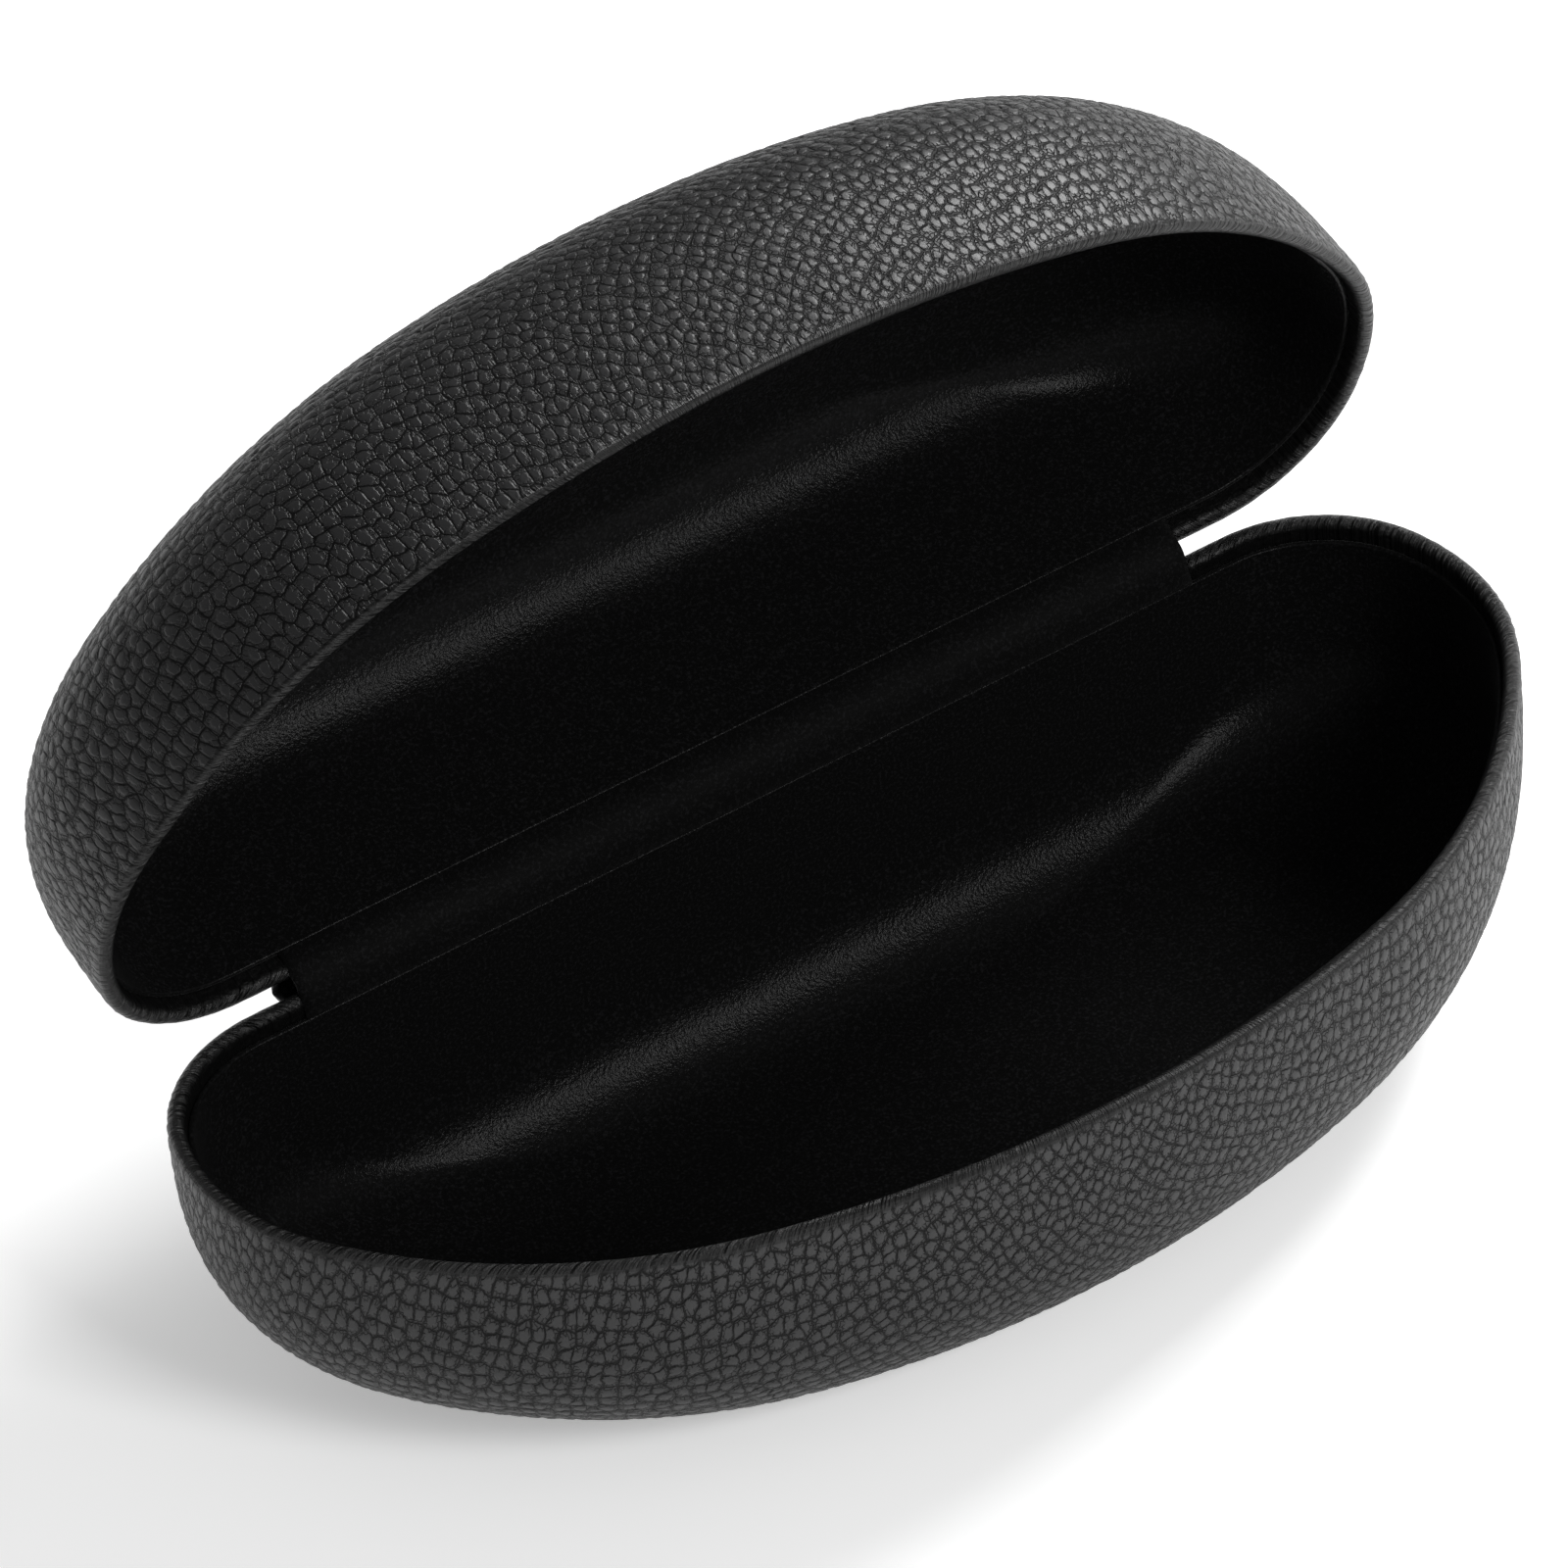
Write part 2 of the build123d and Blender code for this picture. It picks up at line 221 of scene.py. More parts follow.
def pebble_grain(tree, place):
    """Embossed pebbles about 2 mm across in slanting rows, from a place on the flat sheet in mm.

    Gives how far a point is up its pebble's flat top, out of its main crease and out of its
    fine folds, all from 0 to 1, and the drifted place, in pebbles."""
    spaced = add_node(
        tree, "ShaderNodeVectorMath", {0: place, 1: PEBBLES_PER_MM}, operation="MULTIPLY"
    )
    pitches = add_node(
        tree, "ShaderNodeVectorRotate", {0: spaced.outputs[0], 3: ROW_SLANT},
        rotation_type="Z_AXIS",
    )
    drift = add_node(
        tree, "ShaderNodeTexNoise", {"Vector": pitches.outputs[0], "Scale": 0.7, "Detail": 3.0}
    )
    centred = add_node(
        tree, "ShaderNodeVectorMath", {0: drift.outputs["Color"], 1: (0.5, 0.5, 0.5)},
        operation="SUBTRACT",
    )
    pushed = add_node(
        tree, "ShaderNodeVectorMath",
        {0: centred.outputs[0], 1: ROW_DRIFT, 2: pitches.outputs[0]},
        operation="MULTIPLY_ADD",
    )
    middles = add_node(
        tree, "ShaderNodeTexVoronoi",
        {"Vector": pushed.outputs[0], "Scale": 1.0, "Randomness": PEBBLE_UNEVENNESS},
        voronoi_dimensions="2D",
    )
    edges = add_node(
        tree, "ShaderNodeTexVoronoi",
        {"Vector": pushed.outputs[0], "Scale": 1.0, "Randomness": PEBBLE_UNEVENNESS},
        voronoi_dimensions="2D", feature="DISTANCE_TO_EDGE",
    )
    folds = add_node(
        tree, "ShaderNodeTexVoronoi",
        {"Vector": pushed.outputs[0], "Scale": FOLDS_PER_PEBBLE, "Randomness": 1.0},
        voronoi_dimensions="2D", feature="DISTANCE_TO_EDGE",
    )
    top = add_node(
        tree, "ShaderNodeMapRange",
        {0: middles.outputs["Distance"], 1: 0.40, 2: 0.22, 3: 0.0, 4: 1.0},
        interpolation_type="SMOOTHSTEP",
    )
    crease = add_node(
        tree, "ShaderNodeMapRange",
        {0: edges.outputs["Distance"], 1: 0.0, 2: 0.10, 3: 0.0, 4: 1.0},
        interpolation_type="SMOOTHSTEP",
    )
    wrinkles = add_node(
        tree, "ShaderNodeMapRange",
        {0: folds.outputs["Distance"], 1: 0.0, 2: 0.14, 3: 0.0, 4: 1.0},
        interpolation_type="SMOOTHSTEP",
    )
    return top.outputs[0], crease.outputs[0], wrinkles.outputs[0], pushed.outputs[0]


def cut_notch(bm):
    """Cuts the rim away over the hinge, and closes the leather at the notch's two ends."""
    for side in (-1, 1):
        bmesh.ops.bisect_plane(
            bm, geom=bm.verts[:] + bm.edges[:] + bm.faces[:], dist=CUT_MERGE,
            plane_co=(side * NOTCH_HALF_LENGTH, 0, 0), plane_no=(1, 0, 0),
        )
    geom = set()
    for face in bm.faces:
        middle = face.calc_center_median()
        if middle.y > 0 and abs(middle.x) < NOTCH_HALF_LENGTH:
            geom.update([face], face.verts, face.edges)
    bmesh.ops.bisect_plane(
        bm, geom=list(geom), dist=CUT_MERGE, plane_co=(0, 0, NOTCH_DROP), plane_no=(0, 0, 1)
    )
    cut = []
    for face in bm.faces:
        middle = face.calc_center_median()
        turned_in = middle.y < BACK_Y - RIM_WIDTH / 2 and middle.z < TURN_IN_DEPTH
        depth = TURN_IN_DEPTH + MM if turned_in else NOTCH_DROP
        at_back = middle.y > BACK_Y - 1.5 * RIM_WIDTH
        if at_back and abs(middle.x) < NOTCH_HALF_LENGTH and middle.z < depth:
            cut.append(face)
    bmesh.ops.delete(bm, geom=cut, context="FACES")
    bmesh.ops.recalc_face_normals(bm, faces=bm.faces)
    for side in (-1, 1):
        ends = []
        for edge in bm.edges:
            near = [abs(v.co.x - side * NOTCH_HALF_LENGTH) < 1e-3 * MM for v in edge.verts]
            if edge.is_boundary and all(near) and all(v.co.y > 0 for v in edge.verts):
                ends.append(edge)
        if ends:
            bmesh.ops.contextual_create(bm, geom=ends)


def cover_mesh(height):
    """A cover from its turned-in edge, over the roll and down the wall to the crown."""
    roll = RIM_WIDTH / 2
    levels = []
    for k in range(TURN_IN_LEVELS + 1):
        z = TURN_IN_DEPTH + (roll - TURN_IN_DEPTH) * k / TURN_IN_LEVELS
        levels.append(pressed_level(RIM_WIDTH, 1.0, RIM_WIDTH, z, LEVEL_STEPS))
    for k in range(1, ROLL_LEVELS):
        angle = math.pi * k / ROLL_LEVELS
        inset = roll + roll * math.cos(angle)
        levels.append(pressed_level(inset, 1.0, inset, roll - roll * math.sin(angle), LEVEL_STEPS))
    wall = wall_levels(0.0, height, HEEL, MESH_SPACING, LEVEL_STEPS)
    levels += [level for level in wall if level[0].z > roll * 0.98]
    bm = loops_to_mesh(levels + crown_levels(wall[-1], CROWN_SPACING))
    cut_notch(bm)
    rolled = bm.verts.layers.float.new("rolled_rim")
    run = bm.verts.layers.float.new("rim_run")
    sheet_place = bm.verts.layers.float_vector.new("sheet_place")
    for vert in bm.verts:
        way = vert.co.xy - Vector((0, CROWN_Y))
        fade = min(1.0, max(0.0, (ROLL_END - vert.co.z) / ROLL_FADE))
        outside = vert.normal.xy.dot(way) > 0 or vert.co.z > TURN_IN_DEPTH
        vert[rolled] = fade * fade * (3 - 2 * fade) if outside else 1.0
        vert[run] = math.atan2(way.y, way.x) * ROUND_RIM
        flat = way + way.normalized() * (height - vert.co.z) * WALL_UNROLLED
        vert[sheet_place] = Vector((flat.x, flat.y, 0)) / MM
    return bm


def emboss(piece):
    """The grain pressed into the cover's mesh along its normals, and the roll's wrinkles."""
    tree = bpy.data.node_groups.new("pebble_emboss", "GeometryNodeTree")
    tree.interface.new_socket("Cover", in_out="INPUT", socket_type="NodeSocketGeometry")
    tree.interface.new_socket("Cover", in_out="OUTPUT", socket_type="NodeSocketGeometry")
    entry = tree.nodes.new("NodeGroupInput")
    leave = tree.nodes.new("NodeGroupOutput")
    normal = tree.nodes.new("GeometryNodeInputNormal")
    place = add_node(
        tree, "GeometryNodeInputNamedAttribute", {"Name": "sheet_place"}, data_type="FLOAT_VECTOR"
    )
    top, crease, _, _ = pebble_grain(tree, place.outputs[0])
    raised = add_node(tree, "ShaderNodeMath", {0: top, 1: crease}, operation="ADD")
    height = add_node(
        tree, "ShaderNodeMapRange", {0: raised.outputs[0], 1: 0.0, 2: 2.0, 3: -1.0, 4: 0.0}
    )
    rim = add_node(
        tree, "GeometryNodeInputNamedAttribute", {"Name": "rolled_rim"}, data_type="FLOAT"
    )
    open_leather = add_node(
        tree, "ShaderNodeMath", {0: 1.0, 1: rim.outputs[0]}, operation="SUBTRACT"
    )
    pressed = add_node(
        tree, "ShaderNodeMath", {0: height.outputs[0], 1: open_leather.outputs[0]},
        operation="MULTIPLY",
    )
    run = add_node(tree, "GeometryNodeInputNamedAttribute", {"Name": "rim_run"}, data_type="FLOAT")
    wrinkle = add_node(
        tree, "ShaderNodeTexNoise", {"W": run.outputs[0], "Scale": 0.9, "Detail": 2.0},
        noise_dimensions="1D",
    )
    wrinkled = add_node(
        tree, "ShaderNodeMath", {0: wrinkle.outputs[0], 1: rim.outputs[0]}, operation="MULTIPLY"
    )
    both = add_node(
        tree, "ShaderNodeMath", {0: wrinkled.outputs[0], 1: WRINKLE_SHARE, 2: pressed.outputs[0]},
        operation="MULTIPLY_ADD",
    )
    depth = add_node(
        tree, "ShaderNodeMath", {0: both.outputs[0], 1: EMBOSS_DEPTH}, operation="MULTIPLY"
    )
    offset = add_node(
        tree, "ShaderNodeVectorMath", {0: normal.outputs[0], 3: depth.outputs[0]}, operation="SCALE"
    )
    move = add_node(tree, "GeometryNodeSetPosition", {0: entry.outputs[0], 3: offset.outputs[0]})
    tree.links.new(move.outputs[0], leave.inputs[0])
    modifier = piece.modifiers.new("emboss", "NODES")
    modifier.node_group = tree
    graph = bpy.context.evaluated_depsgraph_get()
    pressed_mesh = bpy.data.meshes.new_from_object(piece.evaluated_get(graph))
    pressed_mesh.name = piece.data.name + "_embossed"
    piece.modifiers.clear()
    piece.data = pressed_mesh


# Coated split leather, embossed: the flat tops take a soft sheen from the light. The creases are
# painted nearly black, with their reflection cut down, as painted shade. The roll is painted darker
# too, as painted shade, with fine wrinkles that catch light.
# The crease and roll colours are painted shade, darker than the leather's own colour at the pebble
# tops.
CREASE_PAINTED_SHADE = "#050505"
LEATHER_TOP = "#171718"
ROLL_PAINTED_SHADE = "#060606"
FOLD_HEIGHT = 0.72  # of a pebble's height
GRAIN_BUMP = 0.2 * MM
CRINKLES_PER_MM = 1.8
CRINKLE_STRENGTH = 4.5
PULLED_PER_METRE = 1100.0
grained_leather = bpy.data.materials.new("black_pebble_grain_leather")
grained_leather.use_nodes = True
tree = grained_leather.node_tree
shader = tree.nodes["Principled BSDF"]
place = add_node(tree, "ShaderNodeAttribute", attribute_name="sheet_place")
top, crease, wrinkles, pushed = pebble_grain(tree, place.outputs["Vector"])
rim = add_node(tree, "ShaderNodeAttribute", attribute_name="rolled_rim")
run = add_node(tree, "ShaderNodeAttribute", attribute_name="rim_run")
valley = add_node(tree, "ShaderNodeMath", {0: wrinkles, 1: crease}, operation="MULTIPLY")
low = add_node(tree, "ShaderNodeMath", {0: valley.outputs[0], 1: FOLD_HEIGHT}, operation="MULTIPLY")
domed = add_node(tree, "ShaderNodeMix", {0: top, 2: low.outputs[0], 3: 1.0})
grain = add_node(tree, "ShaderNodeMath", {0: domed.outputs[0], 1: crease}, operation="MULTIPLY")
fine = add_node(
    tree, "ShaderNodeTexNoise", {"Vector": pushed, "Scale": 14.0, "Detail": 3.0, "Roughness": 0.6}
)
crinkle = add_node(
    tree, "ShaderNodeTexNoise", {"W": run.outputs["Fac"], "Scale": CRINKLES_PER_MM, "Detail": 5.0},
    noise_dimensions="1D",
)
height = add_node(
    tree, "ShaderNodeMath", {0: fine.outputs[0], 1: 0.12, 2: grain.outputs[0]},
    operation="MULTIPLY_ADD",
)
object_place = add_node(tree, "ShaderNodeTexCoord")
pulled = add_node(
    tree, "ShaderNodeTexNoise",
    {
        "Vector": object_place.outputs["Object"],
        "Scale": PULLED_PER_METRE, "Detail": 3.0, "Roughness": 0.6,
    },
)
crinkled = add_node(
    tree, "ShaderNodeMath", {0: crinkle.outputs[0], 1: CRINKLE_STRENGTH, 2: pulled.outputs[0]},
    operation="MULTIPLY_ADD",
)
rolled_height = add_node(
    tree, "ShaderNodeMix", {0: rim.outputs["Fac"], 2: height.outputs[0], 3: crinkled.outputs[0]}
)
bump = add_node(
    tree, "ShaderNodeBump",
    {"Height": rolled_height.outputs[0], "Strength": 1.0, "Distance": GRAIN_BUMP},
)
tree.links.new(bump.outputs[0], shader.inputs["Normal"])
# The base colour is painted darker down into each crease: painted shade.
colour = add_node(
    tree, "ShaderNodeMix",
    {0: grain.outputs[0], 6: linear(CREASE_PAINTED_SHADE), 7: linear(LEATHER_TOP)}, data_type="RGBA",
)
# The roll's colour is painted darker still: painted shade of the turned-in edge.
leather_colour_with_painted_shade = add_node(
    tree, "ShaderNodeMix",
    {0: rim.outputs["Fac"], 6: colour.outputs[2], 7: linear(ROLL_PAINTED_SHADE)}, data_type="RGBA",
)
tree.links.new(leather_colour_with_painted_shade.outputs[2], shader.inputs["Base Color"])
dull = add_node(tree, "ShaderNodeMapRange", {0: grain.outputs[0], 1: 0.0, 2: 1.0, 3: 0.52, 4: 0.42})
rolled_dull = add_node(tree, "ShaderNodeMix", {0: rim.outputs["Fac"], 2: dull.outputs[0], 3: 0.38})
tree.links.new(rolled_dull.outputs[0], shader.inputs["Roughness"])
# The specular tint is cut down in the creases, and a little on the roll: painted shade in the
# hollows.
crease_painted_shade_tint = add_node(
    tree, "ShaderNodeMapRange", {0: grain.outputs[0], 1: 0.0, 2: 0.8, 3: 0.15, 4: 1.0}
)
painted_shade_specular_tint = add_node(tree, "ShaderNodeMix", {0: rim.outputs["Fac"], 2: crease_painted_shade_tint.outputs[0], 3: 0.9})
tree.links.new(painted_shade_specular_tint.outputs[0], shader.inputs["Specular Tint"])
shader.inputs["IOR"].default_value = 1.5

halves = (("base", BASE_HEIGHT, to_base), ("lid", LID_HEIGHT, to_lid))
for half, height_of_half, place_of_half in halves:
    cover = new_piece(f"{half}_leather", cover_mesh(height_of_half), place_of_half)
    emboss(cover)
    cover.data.materials.clear()
    cover.data.materials.append(grained_leather)
    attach(cover, half)
    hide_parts(f"{half}_cover")

# ---- flocked liners ----
# One liner to each half: a vacuum-formed plastic tray, flocked with short black nylon fibre.
# It is glued in over the turned-in leather, and its cut edge shows 2.5 mm below the rim.
LINER_THICKNESS = 0.55 * MM
LINER_INSET = RIM_WIDTH + LINER_THICKNESS
LINER_EDGE_DROP = 2.5 * MM
LINER_HEEL = 15.0 * MM
LINER_STEPS = [40, 50, 26, 24, 40]
LINER_MESH_SPACING = 1.0 * MM
LINER_CROWN_SPACING = 1.5 * MM

# Nylon flock on a formed tray: it swallows light, with a faint velvet sheen on its bends. Tiny
# sparks where single fibres would catch the light are painted into the base colour as painted glints.
# A fibre is drawn 0.4 mm wide, coarser than the real ones, so that it shows.
FLOCK_DARK = "#0e0e0e"
FLOCK_PAINTED_GLINT = "#202021"
FIBRE_SIZE = 0.4 * MM
FLOCK_BUMP = 0.1 * MM
STROKE_SIZE = 6.25 * MM  # patches where the fibres lie one way
ROUGHNESS_SPREAD = 0.08


def flock(name, roughness):
    """Black nylon flock on a backing, which shines the more the smoother that backing is."""
    material = bpy.data.materials.new(name)
    material.use_nodes = True
    tree = material.node_tree
    shader = tree.nodes["Principled BSDF"]
    place = add_node(tree, "ShaderNodeTexCoord")
    fibres = add_node(
        tree, "ShaderNodeTexNoise",
        {
            "Vector": place.outputs["Object"],
            "Scale": 1 / FIBRE_SIZE, "Detail": 2.0, "Roughness": 0.7,
        },
    )
    stroked = add_node(
        tree, "ShaderNodeTexNoise",
        {"Vector": place.outputs["Object"], "Scale": 1 / STROKE_SIZE, "Detail": 3.0},
    )
    bump = add_node(
        tree, "ShaderNodeBump",
        {"Height": fibres.outputs[0], "Strength": 0.8, "Distance": FLOCK_BUMP},
    )
    tree.links.new(bump.outputs[0], shader.inputs["Normal"])
    # The base colour is lighter on the fibres' peaks: painted glints.
    painted_glints = add_node(
        tree, "ShaderNodeMapRange", {0: fibres.outputs[0], 1: 0.5, 2: 0.75, 3: 0.0, 4: 1.0}
    )
    colour = add_node(
        tree, "ShaderNodeMix",
        {0: painted_glints.outputs[0], 6: linear(FLOCK_DARK), 7: linear(FLOCK_PAINTED_GLINT)}, data_type="RGBA",
    )
    tree.links.new(colour.outputs[2], shader.inputs["Base Color"])
    brushed = add_node(
        tree, "ShaderNodeMapRange",
        {0: stroked.outputs[0], 1: 0.35, 2: 0.65, 3: roughness + ROUGHNESS_SPREAD, 4: roughness},
    )
    tree.links.new(brushed.outputs[0], shader.inputs["Roughness"])
    shader.inputs["Specular IOR Level"].default_value = 0.05
    shader.inputs["Sheen Weight"].default_value = 0.02
    shader.inputs["Sheen Roughness"].default_value = 0.4
    return material


black_flock = flock("black_flock_on_formed_tray", 0.15)

for half, height_of_half, place_of_half in halves:
    wall = wall_levels(LINER_INSET, height_of_half, LINER_HEEL, LINER_MESH_SPACING, LINER_STEPS)
    edge = pressed_level(LINER_INSET, 1.0, LINER_INSET, LINER_EDGE_DROP, LINER_STEPS)
    levels = [edge] + [level for level in wall if level[0].z > LINER_EDGE_DROP * 1.05]
    bm = loops_to_mesh(levels + crown_levels(wall[-1], LINER_CROWN_SPACING))
    liner = new_piece(f"{half}_flocked_liner", bm, place_of_half)
    solid = liner.modifiers.new("thickness", "SOLIDIFY")
    solid.thickness = LINER_THICKNESS
    solid.offset = 1.0
    liner.data.materials.append(black_flock)
    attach(liner, half)
    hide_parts(f"{half}_liner")

# ---- strips across the hinge ----
# The lining strip is flocked cloth, glued over the knuckles from one liner's edge to the
# other's. The back strip is the outer leather, which runs on across the back of the hinge.
STRIP_LENGTH = 115.4 * MM
STRIP_PARTS = 80
TONGUE_LENGTH = 1.2 * MM  # the back strip is drawn together past each end of the notch
TONGUE_PARTS = 4
TONGUE_TAPER = 0.95
LINING_STRIP_THICKNESS = 0.5 * MM
BACK_STRIP_THICKNESS = 0.65 * MM
KNUCKLE_CLEARANCE_RADIUS = 1.8  # mm, the lining strip's bend
BACK_ARC_RADIUS = 1.81
BACK_ARC_CENTRE = (0.938, -0.87)


def hinge_strip(name, path, stations, narrowest, thickness, material):
    """A strip with that path round the hinge, in the YZ plane from its axis, in millimetres.

    Each station is a place along the hinge and the share of the path's size that it has."""
    bm = bmesh.new()
    sheet_place = bm.verts.layers.float_vector.new("sheet_place")
    runs = [0.0]
    for pair in zip(path, path[1:]):
        runs.append(runs[-1] + math.dist(*pair))

    def place_line(line, x, share):
        for vert, point, run in zip(line, path, runs):
            y, z = [n + (p - n) * share for p, n in zip(point, narrowest)]
            vert.co = (x, HINGE_Y + y * MM, HINGE_Z + z * MM)
            vert[sheet_place] = (x / MM, run, 0)

    line = [bm.verts.new((0, 0, 0)) for _ in path]
    for pair in zip(line, line[1:]):
        bm.edges.new(pair)
    place_line(line, *stations[0])
    for station in stations[1:]:
        edges = [bm.edges.get(pair) for pair in zip(line, line[1:])]
        made = set(bmesh.ops.extrude_edge_only(bm, edges=edges)["geom"])
        line = [
            next(e.other_vert(v) for e in v.link_edges if e.other_vert(v) in made) for v in line
        ]
        place_line(line, *station)
    piece = new_piece(name, bm)
    solid = piece.modifiers.new("thickness", "SOLIDIFY")
    solid.thickness = thickness
    solid.offset = 0.0
    piece.data.materials.append(material)
    return piece


def arc_points(centre, radius, start, end, count):
    """Points along an arc in the hinge's section, with angles in degrees."""
    angles = [math.radians(start + (end - start) * i / count) for i in range(count + 1)]
    return [(centre[0] + radius * math.cos(a), centre[1] + radius * math.sin(a)) for a in angles]


def on_lid_side(y, z):
    """Where a point of the base's side lies on the lid's side, in the open case."""
    cosine, sine = math.cos(OPEN_ANGLE), math.sin(OPEN_ANGLE)
    return (y * cosine - z * sine, -y * sine - z * cosine)


flocked_tape = flock("black_flocked_cloth_tape", 0.7)
lining_foot = (-2.87, -2.65)
lining_arc = arc_points((0, 0), KNUCKLE_CLEARANCE_RADIUS, 160.1, 126.5, 8)
lining_path = [lining_foot] + lining_arc + [on_lid_side(*lining_foot)]
straight = [(STRIP_LENGTH * (k / STRIP_PARTS - 0.5), 1.0) for k in range(STRIP_PARTS + 1)]
lining_strip = hinge_strip(
    "lining_strip_flock", lining_path, straight, (0, 0), LINING_STRIP_THICKNESS, flocked_tape
)
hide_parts("lining_strip")
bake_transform(lining_strip)

back_path = arc_points(BACK_ARC_CENTRE, BACK_ARC_RADIUS, 209.4, 426.0, 20)
shares = [k / TONGUE_PARTS for k in range(1, TONGUE_PARTS + 1)]
tongue = [(STRIP_LENGTH / 2 + TONGUE_LENGTH * s, 1 - TONGUE_TAPER * s**2) for s in shares]
tapered = [(-x, share) for x, share in reversed(tongue)] + straight + tongue
back_strip = hinge_strip(
    "back_strip_leather", back_path, tapered, (1.3, -1.1), BACK_STRIP_THICKNESS, grained_leather
)
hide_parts("back_strip")
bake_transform(back_strip)

# ---- steel shells and hinge ----
# The shells are pressed galvanised sheet steel and the leaves are nickel-plated strip,
# riveted to them. They keep their exact shapes, and only their finish is given here.
METAL_BUMP = 0.02 * MM


def bare_metal(name, colour, dark, roughness, scale, stretch=(1, 1, 1)):
    """A metal whose finish varies a little, at that pattern scale in cycles to the metre."""
    material = bpy.data.materials.new(name)
    material.use_nodes = True
    tree = material.node_tree
    shader = tree.nodes["Principled BSDF"]
    place = add_node(tree, "ShaderNodeTexCoord")
    drawn = add_node(
        tree, "ShaderNodeMapping", {"Vector": place.outputs["Object"], "Scale": stretch}
    )
    patches = add_node(
        tree, "ShaderNodeTexNoise", {"Vector": drawn.outputs[0], "Scale": scale, "Detail": 4.0}
    )
    tint = add_node(
        tree, "ShaderNodeMix",
        {0: patches.outputs[0], 6: linear(dark), 7: linear(colour)}, data_type="RGBA",
    )
    tree.links.new(tint.outputs[2], shader.inputs["Base Color"])
    spread = add_node(
        tree, "ShaderNodeMapRange",
        {
            0: patches.outputs[0], 1: 0.3, 2: 0.7,
            3: roughness + ROUGHNESS_SPREAD, 4: roughness - ROUGHNESS_SPREAD,
        },
    )
    tree.links.new(spread.outputs[0], shader.inputs["Roughness"])
    bump = add_node(
        tree, "ShaderNodeBump",
        {"Height": patches.outputs[0], "Strength": 0.3, "Distance": METAL_BUMP},
    )
    tree.links.new(bump.outputs[0], shader.inputs["Normal"])
    shader.inputs["Metallic"].default_value = 1.0
    return material


galvanised_steel = bare_metal("galvanised_sheet_steel", "#b9bcbf", "#8f9397", 0.45, 180.0)
nickel_plate = bare_metal("nickel_plated_strip", "#c9c6bf", "#aaa69d", 0.3, 700.0, (0.1, 1, 1))
drawn_wire = bare_metal("drawn_steel_wire", "#9a9b9d", "#77787b", 0.28, 1500.0, (0.05, 1, 1))
finishes = {
    galvanised_steel: ["base_shell", "lid_shell"],
    nickel_plate: ["base_hinge_leaf", "lid_hinge_leaf", "base_rivets", "lid_rivets"],
    drawn_wire: ["hinge_pin"],
}
for finish, names in finishes.items():
    for name in names:
        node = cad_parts[name]
        if not node.material_slots:
            node.data.materials.append(finish)
        for slot in node.material_slots:
            slot.material = finish

# ---- snap springs ----
# Two torsion springs of 0.4 mm spring wire are wound round the pin, and each end lies down
# one leaf. They are what holds the lid open or shut.
HINGE_LENGTH = 112.0 * MM
KNUCKLE_SPACES = 9
KNUCKLE_PITCH = HINGE_LENGTH / KNUCKLE_SPACES
WIRE_RADIUS = 0.2 * MM
COIL_RADIUS = 1.0 * MM
COIL_TURNS = 27
STEPS_PER_TURN = 12
COIL_LENGTH = KNUCKLE_PITCH - 1.2 * MM
SPRING_LEG = 4.3 * MM

blued_wire = bare_metal("blued_spring_wire", "#6c6d73", "#4b4c52", 0.3, 1500.0)
lid_way = Vector((0, math.sin(OPEN_ANGLE), math.cos(OPEN_ANGLE)))
for side_name, pitch_count in (("left", -2), ("right", 2)):
    x = KNUCKLE_PITCH * pitch_count
    bm = bmesh.new()
    start = Vector((x - COIL_LENGTH / 2, HINGE_Y - COIL_RADIUS, HINGE_Z))
    bmesh.ops.create_circle(
        bm, segments=8, radius=WIRE_RADIUS, matrix=Matrix.Translation(start)
    )
    steps = STEPS_PER_TURN * COIL_TURNS
    full = 2 * math.pi * COIL_TURNS
    lid_leg = math.pi - OPEN_ANGLE
    spun = bmesh.ops.spin(
        bm, geom=bm.edges[:], cent=(0, HINGE_Y, HINGE_Z), axis=(1, 0, 0),
        dvec=(COIL_LENGTH / steps, 0, 0), angle=full - lid_leg, steps=steps, use_merge=False,
    )
    last = [g for g in spun["geom_last"] if isinstance(g, bmesh.types.BMEdge)]
    first = [e for e in bm.edges if e.is_boundary and e not in last]
    for edges, way in ((first, Vector((0, 0, -1))), (last, lid_way)):
        made = bmesh.ops.extrude_edge_only(bm, edges=edges)["geom"]
        ends = [v for v in made if isinstance(v, bmesh.types.BMVert)]
        bmesh.ops.translate(bm, verts=ends, vec=way * SPRING_LEG)
        tip = [e for e in made if isinstance(e, bmesh.types.BMEdge) and e.is_boundary]
        bmesh.ops.contextual_create(bm, geom=tip)
    spring = new_piece(f"{side_name}_spring_coil", bm)
    spring.data.materials.append(blued_wire)
    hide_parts(f"{side_name}_snap_spring")
    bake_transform(spring)

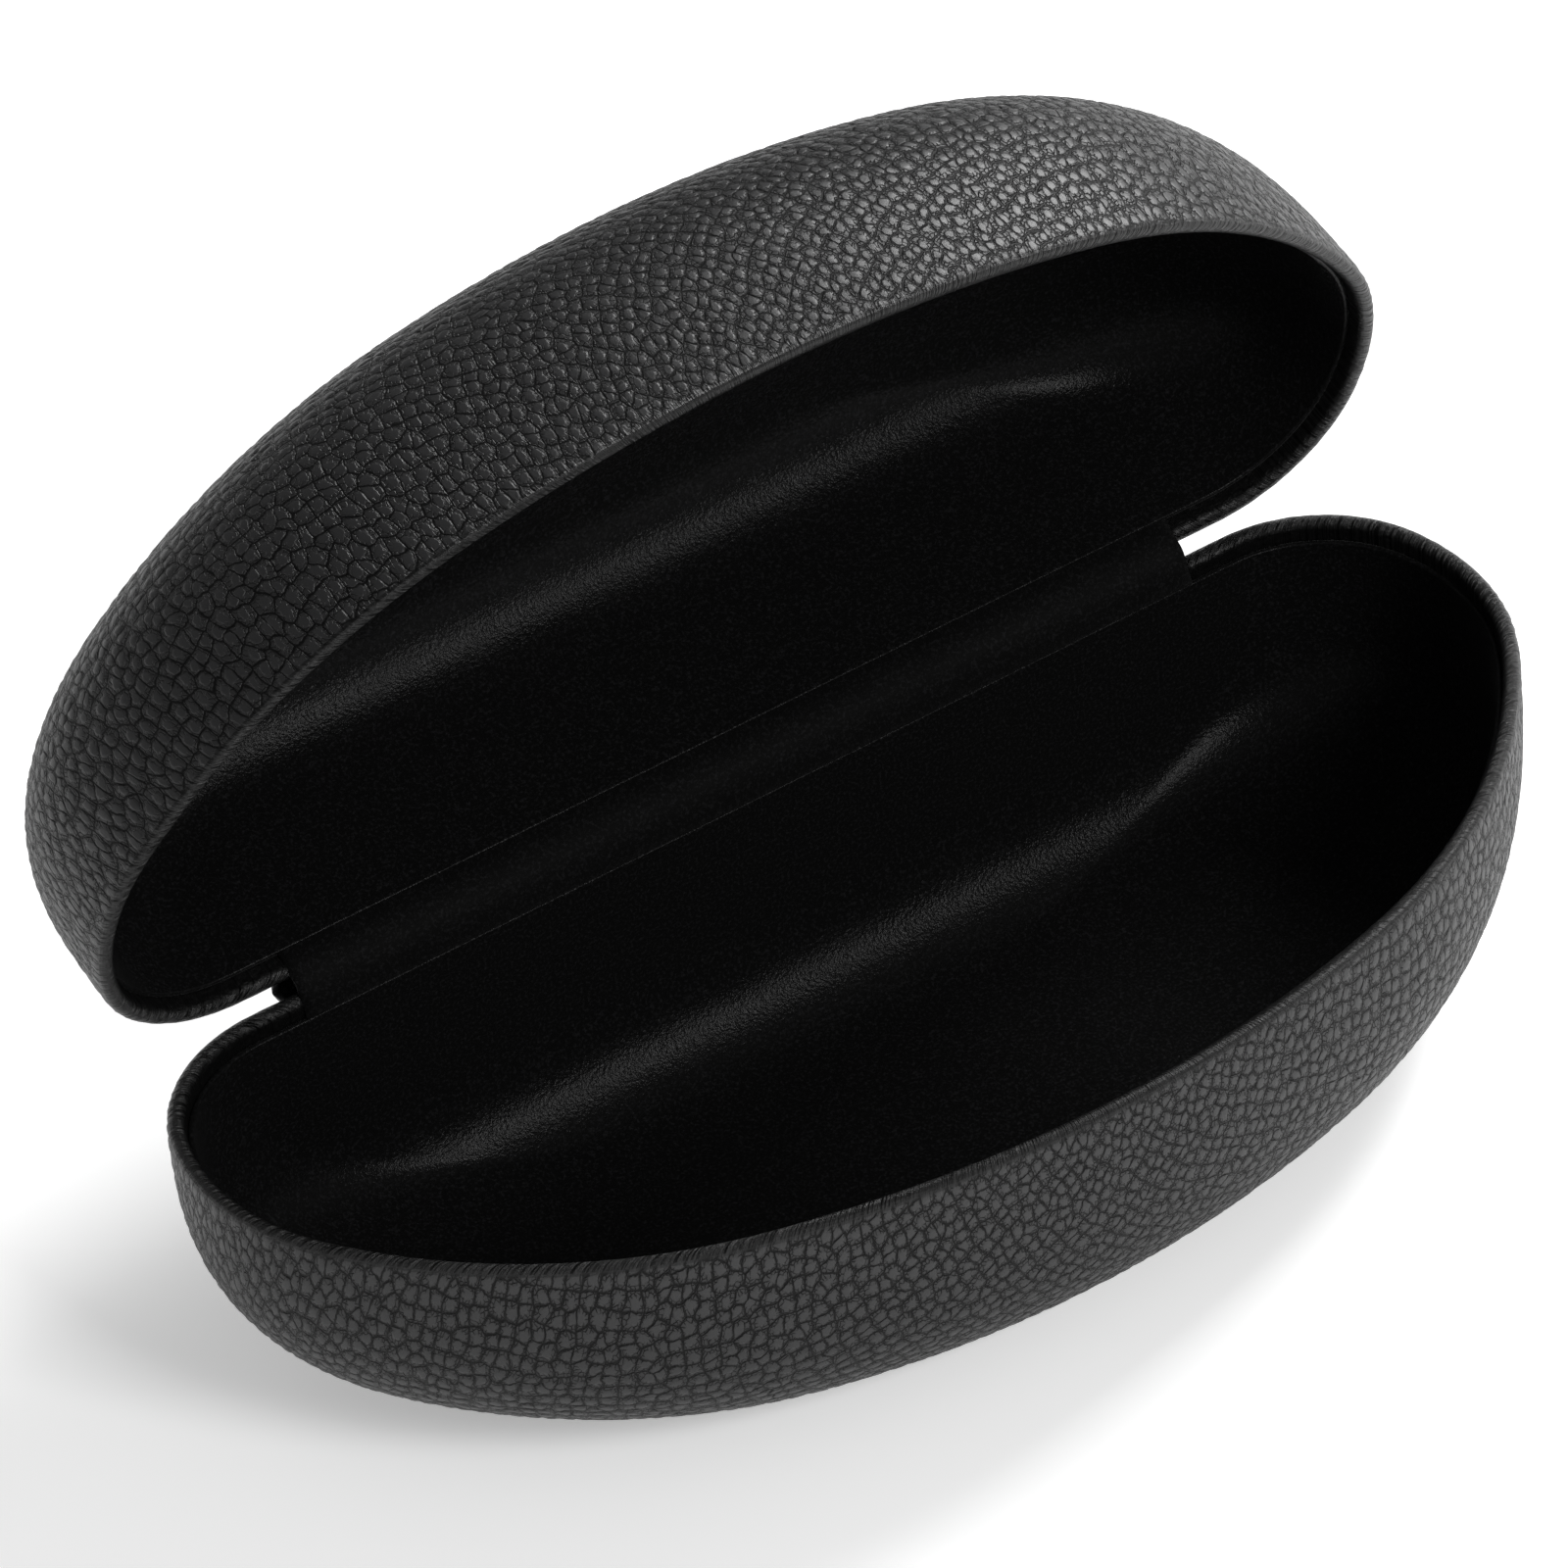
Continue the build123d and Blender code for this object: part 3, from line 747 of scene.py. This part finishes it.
# ---- floor, light and camera ----
# A plain white floor under soft boxes: one large and high behind, one lower in front.
floor_bm = bmesh.new()
bmesh.ops.create_grid(floor_bm, x_segments=2, y_segments=2, size=6.0)
floor = new_piece("floor", floor_bm)
white_floor = bpy.data.materials.new("white_paper_floor")
white_floor.use_nodes = True
paper = white_floor.node_tree.nodes["Principled BSDF"]
paper.inputs["Base Color"].default_value = linear("#fbfbfb")
paper.inputs["Roughness"].default_value = 0.9
paper.inputs["Emission Color"].default_value = linear("#ffffff")
paper.inputs["Emission Strength"].default_value = 0.35
floor.data.materials.append(white_floor)

AIM = Vector((3.1, 32.5, 32.2)) * MM
CAMERA_DISTANCE = 1141 * MM
soft_boxes = [
    ("top_box", (1.05, 0.38, 0.88), 0.5, 19.0),
    ("front_box", (0.25, -1.0, 0.80), 0.4, 7.5),
]
for name, place, size, power in soft_boxes:
    light = bpy.data.lights.new(name, "AREA")
    light.shape = "SQUARE"
    light.size = size
    light.energy = power
    lamp = bpy.data.objects.new(name, light)
    lamp.location = place
    lamp.rotation_euler = (Vector(place) - AIM).to_track_quat("Z", "Y").to_euler()
    bpy.context.scene.collection.objects.link(lamp)

world = bpy.data.worlds.new("studio")
world.use_nodes = True
world.node_tree.nodes["Background"].inputs[0].default_value = linear("#ffffff")
world.node_tree.nodes["Background"].inputs[1].default_value = 0.28
bpy.context.scene.world = world
bpy.context.scene.view_settings.view_transform = "Standard"

azimuth, elevation, roll = (math.radians(a) for a in (-29.8, 39.66, -6.2))
level_way = Vector((math.sin(azimuth), -math.cos(azimuth), 0)) * math.cos(elevation)
back = level_way + Vector((0, 0, math.sin(elevation)))
lens = bpy.data.cameras.new("camera")
lens.lens = 241.8
lens.sensor_width = 36.0
lens.clip_end = 50.0
camera = bpy.data.objects.new("camera", lens)
camera.location = AIM + back * CAMERA_DISTANCE
camera.rotation_euler = (back.to_track_quat("Z", "Y") @ Quaternion((0, 0, 1), roll)).to_euler()
bpy.context.scene.collection.objects.link(camera)
bpy.context.scene.camera = camera
